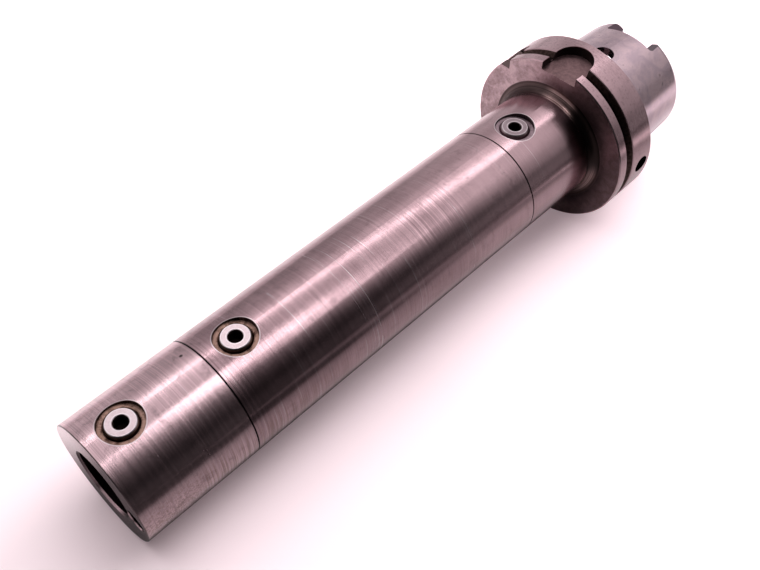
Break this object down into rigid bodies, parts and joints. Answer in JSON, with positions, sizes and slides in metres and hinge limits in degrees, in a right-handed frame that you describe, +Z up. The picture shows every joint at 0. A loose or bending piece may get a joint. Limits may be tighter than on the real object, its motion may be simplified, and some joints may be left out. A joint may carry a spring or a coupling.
{
  "type": "tool holder extension",
  "caption": "Hollow-taper boring-bar holder: a flanged shank adapter with a long and a short cylindrical extension, clamped end to end by radial screws.",
  "frame": {"origin": "middle of the underside, on the surface that the tool lies on", "axes": "+X towards the nose, +Z up. The tool lies on the flange's lower keyway rims and the nose rim, so its axis falls 3.29 degrees towards the nose."},
  "size_m": [0.3858, 0.1, 0.1004],
  "materials": {
    "adapter_steel": "ground steel, dull, with oxide in the corners",
    "bar_steel": "fine-turned steel with ring scratches",
    "screw_steel": "turned steel, worn bright",
    "pin_steel": "hardened ground steel"
  },
  "bodies": {
    "root": {"shank_adapter": "adapter_steel", "middle_extension": "bar_steel", "front_extension": "bar_steel", "rear_clamp_screw": "screw_steel", "middle_clamp_screw": "screw_steel", "front_clamp_screw": "screw_steel", "rear_retaining_screw": "screw_steel", "middle_retaining_screw": "screw_steel", "front_retaining_screw": "screw_steel", "rear_clamp_pin": "pin_steel", "front_clamp_pin": "pin_steel", "rear_locating_pin": "pin_steel", "front_locating_pin": "pin_steel"}
  },
  "joints": []
}
